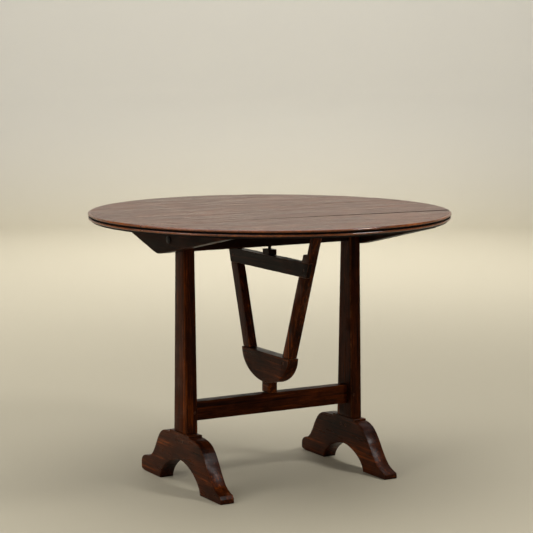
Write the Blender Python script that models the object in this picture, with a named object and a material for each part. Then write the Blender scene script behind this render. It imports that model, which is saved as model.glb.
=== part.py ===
"""Round tilt-top table on a two-post trestle, held level by a swinging harp gate.

Metres, +Z up. The origin is on the floor under the middle of the top. X runs along the
stretcher from the left post to the right post, and -Y is the near side.
"""
import math
from collections import namedtuple

import bmesh
import bpy
from mathutils import Matrix, Vector

# ---- overall sizes
TABLE_HEIGHT = 0.737        # floor to top face
TOP_RADIUS = 0.495
TOP_THICKNESS = 0.0225
UNDERSIDE = TABLE_HEIGHT - TOP_THICKNESS
POST_SPACING = 0.522        # middle to middle of the posts, along X
SEAT_GAP = 0.0003           # between pieces that rest on or fit in each other
PEG_CLEARANCE = 0.0003      # all round a peg, pin or screw in its hole

# ---- round top
SEAM_NEAR = -0.190          # where the seams cross the middle of the top
SEAM_FAR = 0.115
OPEN_SEAM = 0.0012          # the near seam has opened with age
TIGHT_SEAM = 0.0004
GRAIN_TURN = math.radians(-4.0)     # the boards lie a little off the stretcher's line
GROOVE_DEPTH = 0.0030       # between the upper and the lower bead of the rim
GROOVE_WIDTH = 0.0022
LOWER_BEAD_INSET = 0.001    # the lower bead stands back from the upper one
TOP_SEGMENTS = 96
BEAD_STEPS = 5

# ---- battens under the top
BATTEN_THICKNESS = 0.030
BATTEN_KEEL_HEIGHT = UNDERSIDE - 0.0845     # lowest point of a batten
BATTEN_END = 0.008          # depth left at the ends
BATTEN_ROUND = 0.012        # softness of the keel
BATTEN_POST_GAP = 0.001
BATTENS = {                 # near end and far end inside the rim, and the keel along Y
    "left": (0.0717, 0.0417, 0.070),
    "right": (0.0367, 0.0367, 0.0),
}
BATTEN_ARRIS = 0.0015
SCREW_RADIUS = 0.0022
SCREW_HEAD_RADIUS = 0.0045
SCREW_HEAD_HEIGHT = 0.003
SCREW_GRIP = 0.030          # wood between a screw's head and the boards, at most
SCREW_BITE = 0.015          # length in the board
SCREW_RECESS = 0.004        # least depth of a head below the batten's face

# ---- tilt pins
TILT_HEIGHT = UNDERSIDE - 0.0395    # the axis the top tilts on
TILT_PIN_RADIUS = 0.006
TILT_PIN_POST_WALL = 0.004  # between a tilt pin and the top rail's tenon
TILT_HEAD_RADIUS = 0.011
TILT_HEAD_HEIGHT = 0.004

# ---- posts
POST_THICKNESS = 0.034      # along X
POST_WIDTH_FOOT = 0.077     # along Y
POST_WIDTH_HEAD = 0.048
POST_HEAD_HEIGHT = UNDERSIDE - 0.011
POST_SHOULDER = 0.012       # length of the rounded head
POST_ARRIS = 0.0035
POST_HEAD_TURNS = (30, 60, 80)      # degrees round the shoulder of the head
POST_TENON_WIDTH = 0.050
POST_TENON_THICKNESS = 0.016
POST_TENON_DEPTH = 0.050

# ---- feet
FOOT_THICKNESS = 0.041
FOOT_LEDGE = 0.057          # half length of the flat that the post stands on
FOOT_STEP = 0.0055          # drop at the end of the flat
ARCH_POWER = 1.7            # 2 would be an ellipse, 1 a straight-sided arch
Toe = namedtuple("Toe", "reach slope_middle slope_length height nose_back nose_drop nose_steps "
                        "sole_back sole_rise")
Foot = namedtuple("Foot", "height arch_span arch_height near far")
FEET = {                    # sawn by eye, so no two toes are alike
    "left": Foot(0.149, 0.1165, 0.074,
                 Toe(0.2335, 0.158, 0.040, 0.0220, 0.007, 0.009, 1, 0.0, 0.0),
                 Toe(0.2335, 0.1405, 0.0290, 0.047, 0.030, 0.022, 5, 0.030, 0.007)),
    "right": Foot(0.140, 0.105, 0.062,
                  Toe(0.2165, 0.139, 0.043, 0.0175, 0.008, 0.007, 3, 0.0, 0.0),
                  Toe(0.2290, 0.160, 0.0290, 0.042, 0.030, 0.021, 5, 0.030, 0.007)),
}
FOOT_ARRIS = 0.002
SOLE_STEPS = 3
FOOT_PEG_SPREAD = 0.013     # from the middle to each peg, along Y
FOOT_PEG_DROP = 0.024       # below the flat
PEG_RADIUS = 0.004
SMALL_PEG_RADIUS = 0.0032

# ---- stretcher and top rail
STRETCHER_LOW = 0.1800
STRETCHER_DEPTH = 0.053
STRETCHER_THICKNESS = 0.033
STRETCHER_TENON = 0.018     # length in the post
RAIL_LOW = UNDERSIDE - 0.0735
RAIL_DEPTH = 0.049
RAIL_THICKNESS = 0.034
RAIL_TENON = 0.010
TENON_THICKNESS = 0.016
TENON_SHOULDER = 0.008      # above and below a tenon
TENON_ARRIS = 0.001
PEG_PAST_TENON = 0.006
RAIL_ARRIS = 0.002

# ---- harp gate
HARP_THICKNESS = 0.025      # arms, crossbar and upper stub, along X
BLOCK_THICKNESS = 0.033
BLOCK_HALF_LENGTH = 0.128
BLOCK_TOP = 0.345
BLOCK_DEPTH = 0.083
ARM_WIDTH = 0.038           # along Y
ARM_TIP_WIDTH = 0.019       # above the inner shoulder
ARM_SHOULDER_HEIGHT = RAIL_LOW - 0.003
ARM_FOOT_OUT = 0.1265       # outer edge at the block's top, from the harp's axis
ARM_TENON_DEPTH = 0.028
ARM_TENON_SHOULDER = 0.008
ARM_TIP_GAP = 0.0005        # under the top
ARM_TIP_ROUND = 0.004       # lets the tilting top pass the folded arms
ARM_TIP_PAST_POST = {"near": 0.022, "far": -0.002}   # beyond the posts' inner faces
CROSSBAR_LOW = RAIL_LOW - 0.065
CROSSBAR_DEPTH = 0.040
UPPER_BLOCK_LENGTH = 0.036  # along Y
UPPER_BLOCK_HEIGHT = 0.0155
LOWER_BLOCK_LENGTH = 0.042
LOWER_BLOCK_THICKNESS = 0.025
LOWER_BLOCK_IN_BLOCK = 0.013
LOWER_BLOCK_GAP = 0.0006    # running gap over the stretcher
UPPER_PIN_RADIUS = 0.0045
UPPER_PIN_IN_RAIL = 0.020
UPPER_PIN_IN_BAR = 0.022
LOWER_PIN_RADIUS = 0.007
LOWER_PIN_IN_STRETCHER = 0.030
LOWER_PIN_IN_BLOCK = 0.006  # above the lower block
HARP_ARRIS = 0.0015

# ---- values that follow
POST_X = POST_SPACING / 2
POST_INNER = POST_X - POST_THICKNESS / 2
POST_OUTER = POST_X + POST_THICKNESS / 2
BATTEN_INNER = POST_OUTER + BATTEN_POST_GAP
BATTEN_OUTER = BATTEN_INNER + BATTEN_THICKNESS
BATTEN_TOP = UNDERSIDE - SEAT_GAP
BATTEN_CHORD = math.sqrt(TOP_RADIUS ** 2 - BATTEN_OUTER ** 2)     # to the rim along a batten
TILT_PIN_IN_POST = POST_THICKNESS - RAIL_TENON - TILT_PIN_POST_WALL
STRETCHER_TOP = STRETCHER_LOW + STRETCHER_DEPTH
RAIL_TOP = RAIL_LOW + RAIL_DEPTH
CROSSBAR_TOP = CROSSBAR_LOW + CROSSBAR_DEPTH
ARM_TOP = UNDERSIDE - ARM_TIP_GAP
SIDES = {"left": -1, "right": 1}
REACHES = {"near": -1, "far": 1}
BOARDS = ("near", "mid", "far")
CUT_SPARE = 0.002           # how far a cutter runs past an open face

PALETTE = {                 # base colour, roughness, metallic
    "top_wood": ((0.16, 0.060, 0.030), 0.35, 0.0),
    "leg_wood": ((0.070, 0.028, 0.018), 0.45, 0.0),
    "harp_wood": ((0.075, 0.030, 0.020), 0.45, 0.0),
    "peg_wood": ((0.050, 0.022, 0.014), 0.50, 0.0),
    "iron": ((0.060, 0.055, 0.050), 0.60, 0.9),
}


# ---------------------------------------------------------------- shared tools
def clear_scene():
    for item in list(bpy.data.objects):
        bpy.data.objects.remove(item, do_unlink=True)


def material(slot):
    """Principled material of a palette entry, made once."""
    found = bpy.data.materials.get(slot)
    if found:
        return found
    colour, roughness, metallic = PALETTE[slot]
    made = bpy.data.materials.new(slot)
    made.use_nodes = True
    shader = made.node_tree.nodes["Principled BSDF"]
    shader.inputs["Base Color"].default_value = (*colour, 1.0)
    shader.inputs["Roughness"].default_value = roughness
    shader.inputs["Metallic"].default_value = metallic
    made.diffuse_color = (*colour, 1.0)
    return made


def add_object(name, bm, slot):
    """Object made from a closed bmesh, with its faces turned out."""
    bmesh.ops.recalc_face_normals(bm, faces=bm.faces)
    mesh = bpy.data.meshes.new(name)
    bm.to_mesh(mesh)
    bm.free()
    mesh.shade_smooth()
    mesh.set_sharp_from_angle(angle=math.radians(35))
    made = bpy.data.objects.new(name, mesh)
    made.data.materials.append(material(slot))
    bpy.context.collection.objects.link(made)
    return made


def slab(outline, low, high):
    """Prism of a YZ outline between two X values."""
    bm = bmesh.new()
    near = [bm.verts.new((low, y, z)) for y, z in outline]
    away = [bm.verts.new((high, y, z)) for y, z in outline]
    bm.faces.new(near)
    bm.faces.new(list(reversed(away)))
    for i in range(len(outline)):
        j = (i + 1) % len(outline)
        bm.faces.new((near[i], near[j], away[j], away[i]))
    return bm


def rounded_rectangle(u_half, v_half, radius):
    """Twelve points round a rectangle whose corners have the given radius."""
    points = []
    for corner, (su, sv) in enumerate(((1, 1), (-1, 1), (-1, -1), (1, -1))):
        for step in range(3):
            turn = math.radians(90 * corner + 45 * step)
            points.append((su * (u_half - radius) + radius * math.cos(turn),
                           sv * (v_half - radius) + radius * math.sin(turn)))
    return points


def circle(radius, sides=16):
    turns = [2 * math.pi * i / sides for i in range(sides)]
    return [(radius * math.cos(t), radius * math.sin(t)) for t in turns]


def loft(stations, axis):
    """Closed body through rings of points; each station is (distance, ring, v_offset)."""
    bm = bmesh.new()
    rings = []
    for distance, ring, offset in stations:
        corners = []
        for u, v in ring:
            place = {"X": (distance, u, v + offset), "Y": (u, distance, v + offset),
                     "Z": (u, v + offset, distance)}[axis]
            corners.append(bm.verts.new(place))
        rings.append(corners)
    for lower, upper in zip(rings, rings[1:]):
        for i in range(len(lower)):
            j = (i + 1) % len(lower)
            bm.faces.new((lower[i], lower[j], upper[j], upper[i]))
    bm.faces.new(list(reversed(rings[0])))
    bm.faces.new(rings[-1])
    return bm


def slice_off(bm, point, normal):
    """Cut away what lies on the normal's side of a plane, and close the cut."""
    geometry = bm.verts[:] + bm.edges[:] + bm.faces[:]
    cut = bmesh.ops.bisect_plane(bm, geom=geometry, plane_co=point, plane_no=normal,
                                 clear_outer=True)
    edges = [e for e in cut["geom_cut"] if isinstance(e, bmesh.types.BMEdge)]
    bmesh.ops.holes_fill(bm, edges=edges, sides=0)


def soften(bm, width, segments=2):
    """Rounded arrises on the sharp edges that stand out; inside corners stay sharp."""
    bmesh.ops.recalc_face_normals(bm, faces=bm.faces)
    edges = [e for e in bm.edges if e.is_convex and e.calc_face_angle(0.0) > math.radians(40)]
    bmesh.ops.bevel(bm, geom=edges, offset=width, segments=segments, profile=0.5,
                    affect="EDGES", clamp_overlap=True)
    return bm


def cut_with(target, bm, label):
    """Boolean cut of a target by the body in a bmesh."""
    bmesh.ops.recalc_face_normals(bm, faces=bm.faces)
    mesh = bpy.data.meshes.new(label)
    bm.to_mesh(mesh)
    bm.free()
    cutter = bpy.data.objects.new("cutter_" + label, mesh)
    bpy.context.collection.objects.link(cutter)
    cutter.hide_render = True
    cutter.display_type = "WIRE"
    boolean = target.modifiers.new("cut_" + label, "BOOLEAN")
    boolean.operation = "DIFFERENCE"
    boolean.solver = "EXACT"
    boolean.object = cutter


def box(low, high):
    """Axis-aligned box between two corners."""
    outline = ((low[1], low[2]), (high[1], low[2]), (high[1], high[2]), (low[1], high[2]))
    return slab(outline, low[0], high[0])


def rod(axis, start, end, centre, radius, sides=16):
    """Cylinder along an axis; centre is the full point, start and end are along the axis."""
    bm = loft([(start, circle(radius, sides), 0.0), (end, circle(radius, sides), 0.0)], axis)
    shift = Vector(centre)
    shift["XYZ".index(axis)] = 0.0
    bmesh.ops.translate(bm, vec=shift, verts=bm.verts)
    return bm


def pin_hole(target, axis, start, end, centre, radius, label):
    """Hole for a pin that runs from start to end; the caller adds any spare length."""
    cut_with(target, rod(axis, start, end, centre, radius + PEG_CLEARANCE), label)


# ---------------------------------------------------------------- round top
def rim_profile():
    """Radius and height round the top's edge, from the top face to the underside."""
    bead = (TOP_THICKNESS - GROOVE_WIDTH) / 4       # radius of each half-round bead
    points = []
    for top, radius in ((TABLE_HEIGHT, TOP_RADIUS), (UNDERSIDE + 2 * bead, TOP_RADIUS - LOWER_BEAD_INSET)):
        for step in range(BEAD_STEPS + 1):
            turn = math.pi * step / BEAD_STEPS
            out = radius - GROOVE_DEPTH + GROOVE_DEPTH * math.sin(turn)
            points.append((out, top - bead + bead * math.cos(turn)))
    return points


def round_top():
    """The whole top as one turned body."""
    bm = bmesh.new()
    rings = []
    for radius, height in rim_profile():
        turns = [2 * math.pi * i / TOP_SEGMENTS for i in range(TOP_SEGMENTS)]
        rings.append([bm.verts.new((radius * math.cos(t), radius * math.sin(t), height))
                      for t in turns])
    for upper, lower in zip(rings, rings[1:]):
        for i in range(TOP_SEGMENTS):
            j = (i + 1) % TOP_SEGMENTS
            bm.faces.new((upper[i], lower[i], lower[j], upper[j]))
    bm.faces.new(rings[0])
    bm.faces.new(list(reversed(rings[-1])))
    return bm


def make_boards():
    spans = {
        "near": (None, SEAM_NEAR - OPEN_SEAM / 2),
        "mid": (SEAM_NEAR + OPEN_SEAM / 2, SEAM_FAR - TIGHT_SEAM / 2),
        "far": (SEAM_FAR + TIGHT_SEAM / 2, None),
    }
    boards = {}
    for part, (low, high) in spans.items():
        bm = round_top()
        if low is not None:
            slice_off(bm, (0, low, 0), (0, -1, 0))
        if high is not None:
            slice_off(bm, (0, high, 0), (0, 1, 0))
        bmesh.ops.rotate(bm, cent=(0, 0, 0), matrix=Matrix.Rotation(GRAIN_TURN, 3, "Z"),
                         verts=bm.verts)
        boards[part] = add_object("top_board_" + part, bm, "top_wood")
    return boards


# ---------------------------------------------------------------- battens
def batten_run(side):
    """Near end, keel and far end of a batten along Y."""
    near_inset, far_inset, keel = BATTENS[side]
    return near_inset - BATTEN_CHORD, keel, BATTEN_CHORD - far_inset


def batten_low(side, y):
    """Height of a batten's curved underside."""
    near_end, keel, far_end = batten_run(side)
    reach = (far_end - keel) if y > keel else (keel - near_end)

    def rise(distance):
        return math.hypot(distance, BATTEN_ROUND) - BATTEN_ROUND

    return BATTEN_KEEL_HEIGHT + (BATTEN_TOP - BATTEN_END - BATTEN_KEEL_HEIGHT) \
        * rise(abs(y - keel)) / rise(reach)


def make_battens(boards):
    steps = 20
    battens = {}
    for side, sign in SIDES.items():
        near_end, keel, far_end = batten_run(side)
        run = [near_end + (keel - near_end) * i / steps for i in range(steps)]
        run += [keel + (far_end - keel) * i / steps for i in range(steps + 1)]
        outline = [(y, batten_low(side, y)) for y in run]
        outline += [(far_end, BATTEN_TOP), (near_end, BATTEN_TOP)]
        edges = sorted((sign * BATTEN_INNER, sign * BATTEN_OUTER))
        bm = soften(slab(outline, *edges), BATTEN_ARRIS, 1)
        batten = add_object("batten_" + side, bm, "leg_wood")
        pin_hole(batten, "X", edges[0] - CUT_SPARE, edges[1] + CUT_SPARE,
                 (0, 0, TILT_HEIGHT), TILT_PIN_RADIUS, "tilt_" + side)
        battens[side] = batten
        make_screws(side, sign, batten, boards)
    return battens


def screw_places(side, x):
    """Board and Y of each screw: the middle of the batten's run under each board."""
    near_end, _, far_end = batten_run(side)
    seams = [(seam + x * math.sin(GRAIN_TURN)) / math.cos(GRAIN_TURN) for seam in (SEAM_NEAR, SEAM_FAR)]
    marks = [near_end] + seams + [far_end]
    return [(part, (low + high) / 2) for part, low, high in zip(BOARDS, marks, marks[1:])]


def make_screws(side, sign, batten, boards):
    """Screws up through a batten, one into each board."""
    x = sign * (BATTEN_INNER + BATTEN_THICKNESS / 2)
    for number, (part, y) in enumerate(screw_places(side, x), start=1):
        head = max(batten_low(side, y) + SCREW_RECESS, BATTEN_TOP - SCREW_GRIP)
        neck = head + SCREW_HEAD_HEIGHT
        tip = UNDERSIDE + SCREW_BITE
        label = "screw_%s_%d" % (side, number)
        stations = [(head, circle(SCREW_HEAD_RADIUS, 12), 0.0), (neck, circle(SCREW_RADIUS, 12), 0.0),
                    (tip, circle(SCREW_RADIUS, 12), 0.0)]
        bm = loft(stations, "Z")
        bmesh.ops.translate(bm, vec=(x, y, 0), verts=bm.verts)
        add_object("batten_" + label, bm, "iron")
        pocket = rod("Z", BATTEN_KEEL_HEIGHT - CUT_SPARE, neck + PEG_CLEARANCE, (x, y, 0),
                     SCREW_HEAD_RADIUS + PEG_CLEARANCE, 12)
        cut_with(batten, pocket, "pocket_" + label)
        shank = rod("Z", head, UNDERSIDE + CUT_SPARE, (x, y, 0), SCREW_RADIUS + PEG_CLEARANCE, 12)
        cut_with(batten, shank, "shank_" + label)
        bite = rod("Z", UNDERSIDE - CUT_SPARE, tip + PEG_CLEARANCE, (x, y, 0),
                   SCREW_RADIUS + PEG_CLEARANCE, 12)
        cut_with(boards[part], bite, "bite_" + label)


def make_tilt_pins():
    for side, sign in SIDES.items():
        inner = POST_OUTER - TILT_PIN_IN_POST
        neck = BATTEN_OUTER + SEAT_GAP
        stations = [(inner, TILT_PIN_RADIUS), (neck, TILT_PIN_RADIUS), (neck, TILT_HEAD_RADIUS),
                    (neck + TILT_HEAD_HEIGHT / 2, TILT_HEAD_RADIUS),
                    (neck + TILT_HEAD_HEIGHT, TILT_PIN_RADIUS)]
        bm = loft([(sign * d, circle(radius), TILT_HEIGHT) for d, radius in stations], "X")
        add_object("tilt_pin_" + side, bm, "iron")


# ---------------------------------------------------------------- posts and feet
def post_half_width(z):
    low = FEET["left"].height
    share = (z - low) / (POST_HEAD_HEIGHT - low)
    return (POST_WIDTH_FOOT + (POST_WIDTH_HEAD - POST_WIDTH_FOOT) * share) / 2


def make_posts():
    posts = {}
    thick = POST_THICKNESS / 2
    head = POST_HEAD_HEIGHT - POST_SHOULDER
    tenon = rounded_rectangle(POST_TENON_THICKNESS / 2, POST_TENON_WIDTH / 2, TENON_ARRIS)
    for side, sign in SIDES.items():
        low = FEET[side].height + SEAT_GAP
        stations = [
            (low - POST_TENON_DEPTH, tenon, 0.0),
            (low, tenon, 0.0),
            (low, rounded_rectangle(thick, post_half_width(low), POST_ARRIS), 0.0),
            (head, rounded_rectangle(thick, post_half_width(head), POST_ARRIS), 0.0),
        ]
        for turn in POST_HEAD_TURNS:
            drop = POST_SHOULDER * (1 - math.sin(math.radians(turn)))
            draw = POST_SHOULDER * (1 - math.cos(math.radians(turn)))
            half = post_half_width(head) - draw
            stations.append((POST_HEAD_HEIGHT - drop, rounded_rectangle(thick, half, POST_ARRIS), 0.0))
        bm = loft(stations, "Z")
        bmesh.ops.translate(bm, vec=(sign * POST_X, 0, 0), verts=bm.verts)
        post = add_object("post_" + side, bm, "leg_wood")
        inner = POST_OUTER - TILT_PIN_IN_POST - PEG_CLEARANCE
        ends = sorted((sign * inner, sign * (POST_OUTER + CUT_SPARE)))
        pin_hole(post, "X", *ends, (0, 0, TILT_HEIGHT), TILT_PIN_RADIUS, "tilt_post_" + side)
        posts[side] = post
    return posts


def foot_half(foot, toe):
    """Half of a foot's outline, from the arch's crown round the toe to the middle of the flat."""
    arch_steps = 12
    slope_steps = 14
    arch = []
    for step in range(arch_steps + 1):
        turn = math.pi / 2 * (1 - step / arch_steps)
        y = foot.arch_span * math.cos(turn) ** (2 / ARCH_POWER)
        z = foot.arch_height * math.sin(turn) ** (2 / ARCH_POWER)
        arch.append((y, z))
    nose = []
    for step in range(toe.nose_steps):
        turn = math.pi / 2 * step / toe.nose_steps
        nose.append((toe.reach - toe.nose_back * (1 - math.cos(turn)),
                     toe.height - toe.nose_drop * (1 - math.sin(turn))))
    crest = foot.height - FOOT_STEP
    middle = (crest + toe.height) / 2
    swing = (crest - toe.height) / 2
    start = FOOT_LEDGE + FOOT_STEP
    end = toe.reach - toe.nose_back
    end_share = math.tanh((end - toe.slope_middle) / toe.slope_length)
    start_share = math.tanh((toe.slope_middle - start) / toe.slope_length)
    slope = []
    for step in range(slope_steps + 1):
        y = end + (start - end) * step / slope_steps
        share = math.tanh((toe.slope_middle - y) / toe.slope_length)
        share /= end_share if share < 0 else start_share
        slope.append((y, middle + swing * share))
    sole = [(toe.reach, 0.0)]
    if toe.sole_rise:
        sole = [(toe.reach - toe.sole_back * (1 - math.sin(turn)), toe.sole_rise * (1 - math.cos(turn)))
                for turn in (math.pi / 2 * step / SOLE_STEPS for step in range(SOLE_STEPS + 1))]
    return arch + sole + nose + slope + [(FOOT_LEDGE, crest), (FOOT_LEDGE, foot.height)]


def foot_outline(foot):
    """Sledge foot: pads, arch, toes, ogee slopes and a flat for the post."""
    near_hand = [(-y, z) for y, z in reversed(foot_half(foot, foot.near))]
    return foot_half(foot, foot.far) + near_hand[:-1]


def make_feet(posts):
    thick = FOOT_THICKNESS / 2
    for side, sign in SIDES.items():
        middle = sign * POST_X
        height = FEET[side].height
        tenon_low = height - POST_TENON_DEPTH
        bm = soften(slab(foot_outline(FEET[side]), middle - thick, middle + thick), FOOT_ARRIS)
        foot = add_object("foot_" + side, bm, "leg_wood")
        reach_x = POST_TENON_THICKNESS / 2 + SEAT_GAP
        reach_y = POST_TENON_WIDTH / 2 + SEAT_GAP
        cut_with(foot, box((middle - reach_x, -reach_y, tenon_low),
                           (middle + reach_x, reach_y, height + CUT_SPARE)), "mortise_" + side)
        for reach, way in REACHES.items():
            place = (0, way * FOOT_PEG_SPREAD, height - FOOT_PEG_DROP)
            label = "foot_peg_%s_%s" % (side, reach)
            span = (middle - thick, middle + thick)
            add_object(label, rod("X", *span, place, PEG_RADIUS, 12), "peg_wood")
            hole = (span[0] - CUT_SPARE, span[1] + CUT_SPARE)
            pin_hole(foot, "X", *hole, place, PEG_RADIUS, label)
            pin_hole(posts[side], "X", *hole, place, PEG_RADIUS, label + "_post")


# ---------------------------------------------------------------- rails
def make_rail(name, low, depth, thickness, tenon, posts, peg_name):
    """Rail between the posts with a pegged tenon at each end; returns the rail."""
    middle = low + depth / 2
    inner = POST_INNER - SEAT_GAP
    body = rounded_rectangle(thickness / 2, depth / 2, RAIL_ARRIS)
    tongue = rounded_rectangle(TENON_THICKNESS / 2, depth / 2 - TENON_SHOULDER, TENON_ARRIS)
    stations = [(-inner - tenon, tongue, middle), (-inner, tongue, middle), (-inner, body, middle),
                (inner, body, middle), (inner, tongue, middle), (inner + tenon, tongue, middle)]
    rail = add_object(name, loft(stations, "X"), "leg_wood")
    reach_y = TENON_THICKNESS / 2 + SEAT_GAP
    reach_z = depth / 2 - TENON_SHOULDER + SEAT_GAP
    for side, sign in SIDES.items():
        ends = sorted((sign * (POST_INNER - CUT_SPARE), sign * (inner + tenon + SEAT_GAP)))
        cut_with(posts[side], box((ends[0], -reach_y, middle - reach_z),
                                  (ends[1], reach_y, middle + reach_z)), name + "_" + side)
        x = sign * (inner + tenon / 2)
        start = -post_half_width(middle)
        end = TENON_THICKNESS / 2 + PEG_PAST_TENON
        label = "%s_%s" % (peg_name, side)
        peg = rod("Y", start, end, (x, 0, middle), SMALL_PEG_RADIUS, 12)
        add_object(label, peg, "peg_wood")
        for target, part in ((posts[side], "post"), (rail, "rail")):
            pin_hole(target, "Y", start - CUT_SPARE, end + PEG_CLEARANCE, (x, 0, middle),
                     SMALL_PEG_RADIUS, label + "_" + part)
    return rail


# ---------------------------------------------------------------- harp gate
def arm_out(reach, z):
    """Outer edge of an arm at a height, from the harp's axis."""
    tip_out = POST_INNER + ARM_TIP_PAST_POST[reach]
    return ARM_FOOT_OUT + (tip_out - ARM_FOOT_OUT) * (z - BLOCK_TOP) / (ARM_TOP - BLOCK_TOP)


def arm_outline(reach):
    """Arm with a tenon at its foot and a shoulder on the inside near its tip."""
    tenon_low = BLOCK_TOP - ARM_TENON_DEPTH
    foot = BLOCK_TOP + SEAT_GAP
    shoulder = ARM_SHOULDER_HEIGHT
    edges = (                   # height, and how far inside the outer edge
        (tenon_low, ARM_WIDTH - ARM_TENON_SHOULDER), (tenon_low, ARM_TENON_SHOULDER),
        (foot, ARM_TENON_SHOULDER), (foot, 0.0), (ARM_TOP, 0.0), (ARM_TOP, ARM_TIP_WIDTH),
        (shoulder, ARM_TIP_WIDTH), (shoulder, ARM_WIDTH), (foot, ARM_WIDTH),
        (foot, ARM_WIDTH - ARM_TENON_SHOULDER),
    )
    return [(REACHES[reach] * (arm_out(reach, z) - inside), z) for z, inside in edges]


def strip(reach, low, high, inset):
    """Sloping strip along an arm between two heights, drawn in or out by inset."""
    points = [(arm_out(reach, low) - ARM_WIDTH + inset, low), (arm_out(reach, low) - inset, low),
              (arm_out(reach, high) - inset, high), (arm_out(reach, high) - ARM_WIDTH + inset, high)]
    return [(REACHES[reach] * y, z) for y, z in points]


def make_harp_block():
    steps = 32
    outline = []
    for step in range(steps + 1):
        turn = math.pi * step / steps
        outline.append((-BLOCK_HALF_LENGTH * math.cos(turn), BLOCK_TOP - BLOCK_DEPTH * math.sin(turn)))
    half = BLOCK_THICKNESS / 2
    block = add_object("harp_block", soften(slab(outline, -half, half), HARP_ARRIS), "harp_wood")
    reach_x = LOWER_BLOCK_THICKNESS / 2 + SEAT_GAP
    reach_y = LOWER_BLOCK_LENGTH / 2 + SEAT_GAP
    low = BLOCK_TOP - BLOCK_DEPTH
    cut_with(block, box((-reach_x, -reach_y, low - CUT_SPARE),
                        (reach_x, reach_y, low + LOWER_BLOCK_IN_BLOCK + SEAT_GAP)), "lower_block_seat")
    return block


def make_harp_arms(block):
    half = HARP_THICKNESS / 2
    arms = {}
    peg_z = BLOCK_TOP - ARM_TENON_DEPTH / 2
    for reach, sign in REACHES.items():
        bm = slab(arm_outline(reach), -half, half)
        for way in (-1, 1):
            slice_off(bm, (way * (half - ARM_TIP_ROUND), 0, ARM_TOP), (way, 0, 1))
        arm = add_object("harp_arm_" + reach, soften(bm, HARP_ARRIS, 1), "harp_wood")
        seat = strip(reach, BLOCK_TOP - ARM_TENON_DEPTH - SEAT_GAP, BLOCK_TOP + CUT_SPARE,
                     ARM_TENON_SHOULDER - SEAT_GAP)
        cut_with(block, slab(seat, -half - SEAT_GAP, half + SEAT_GAP), "arm_seat_" + reach)
        place = (0, sign * (arm_out(reach, peg_z) - ARM_WIDTH / 2), peg_z)
        label = "harp_arm_peg_" + reach
        end = BLOCK_THICKNESS / 2
        add_object(label, rod("X", -end, end, place, SMALL_PEG_RADIUS, 12), "peg_wood")
        for target, part in ((block, "block"), (arm, "arm")):
            pin_hole(target, "X", -end - CUT_SPARE, end + CUT_SPARE, place, SMALL_PEG_RADIUS,
                     label + "_" + part)
        arms[reach] = arm
    return arms


def make_crossbar(arms):
    """Bar halved into the arms on their -X side, with its ends flush with their edges."""
    half = HARP_THICKNESS / 2
    corners = (("near", CROSSBAR_LOW), ("far", CROSSBAR_LOW), ("far", CROSSBAR_TOP),
               ("near", CROSSBAR_TOP))
    outline = [(REACHES[reach] * arm_out(reach, z), z) for reach, z in corners]
    bar = add_object("harp_crossbar", slab(outline, -half, half), "harp_wood")
    middle = (CROSSBAR_LOW + CROSSBAR_TOP) / 2
    for reach, sign in REACHES.items():
        lap = strip(reach, CROSSBAR_LOW - CUT_SPARE, CROSSBAR_TOP + CUT_SPARE, -SEAT_GAP)
        outer = [(y + sign * CUT_SPARE if abs(y) > arm_out(reach, z) else y, z) for y, z in lap]
        cut_with(bar, slab(outer, -SEAT_GAP / 2, half + CUT_SPARE), "lap_" + reach)
        y_ends = sorted((sign * (arm_out(reach, CROSSBAR_LOW) - ARM_WIDTH - CUT_SPARE * 2),
                         sign * (arm_out(reach, CROSSBAR_TOP) + CUT_SPARE)))
        cut_with(arms[reach], box((-half - CUT_SPARE, y_ends[0], CROSSBAR_LOW - SEAT_GAP),
                                  (SEAT_GAP / 2, y_ends[1], CROSSBAR_TOP + SEAT_GAP)), "notch_" + reach)
        place = (0, sign * (arm_out(reach, middle) - ARM_WIDTH / 2), middle)
        label = "harp_bar_peg_" + reach
        add_object(label, rod("X", -half, half, place, SMALL_PEG_RADIUS, 12), "peg_wood")
        for target, part in ((bar, "bar"), (arms[reach], "arm")):
            pin_hole(target, "X", -half - CUT_SPARE, half + CUT_SPARE, place, SMALL_PEG_RADIUS,
                     label + "_" + part)
    return bar


def make_upper_pivot(bar, rail):
    half = HARP_THICKNESS / 2
    low = CROSSBAR_TOP + SEAT_GAP
    high = low + UPPER_BLOCK_HEIGHT
    ring = rounded_rectangle(half, UPPER_BLOCK_LENGTH / 2, HARP_ARRIS)
    stub = add_object("harp_upper_block", loft([(low, ring, 0.0), (high, ring, 0.0)], "Z"), "harp_wood")
    start = CROSSBAR_TOP - UPPER_PIN_IN_BAR
    end = RAIL_LOW + UPPER_PIN_IN_RAIL
    add_object("harp_upper_pin", rod("Z", start, end, (0, 0, 0), UPPER_PIN_RADIUS), "iron")
    for target, part in ((bar, "bar"), (stub, "stub"), (rail, "rail")):
        pin_hole(target, "Z", start - SEAT_GAP, end + SEAT_GAP, (0, 0, 0), UPPER_PIN_RADIUS,
                 "upper_pin_" + part)


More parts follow.
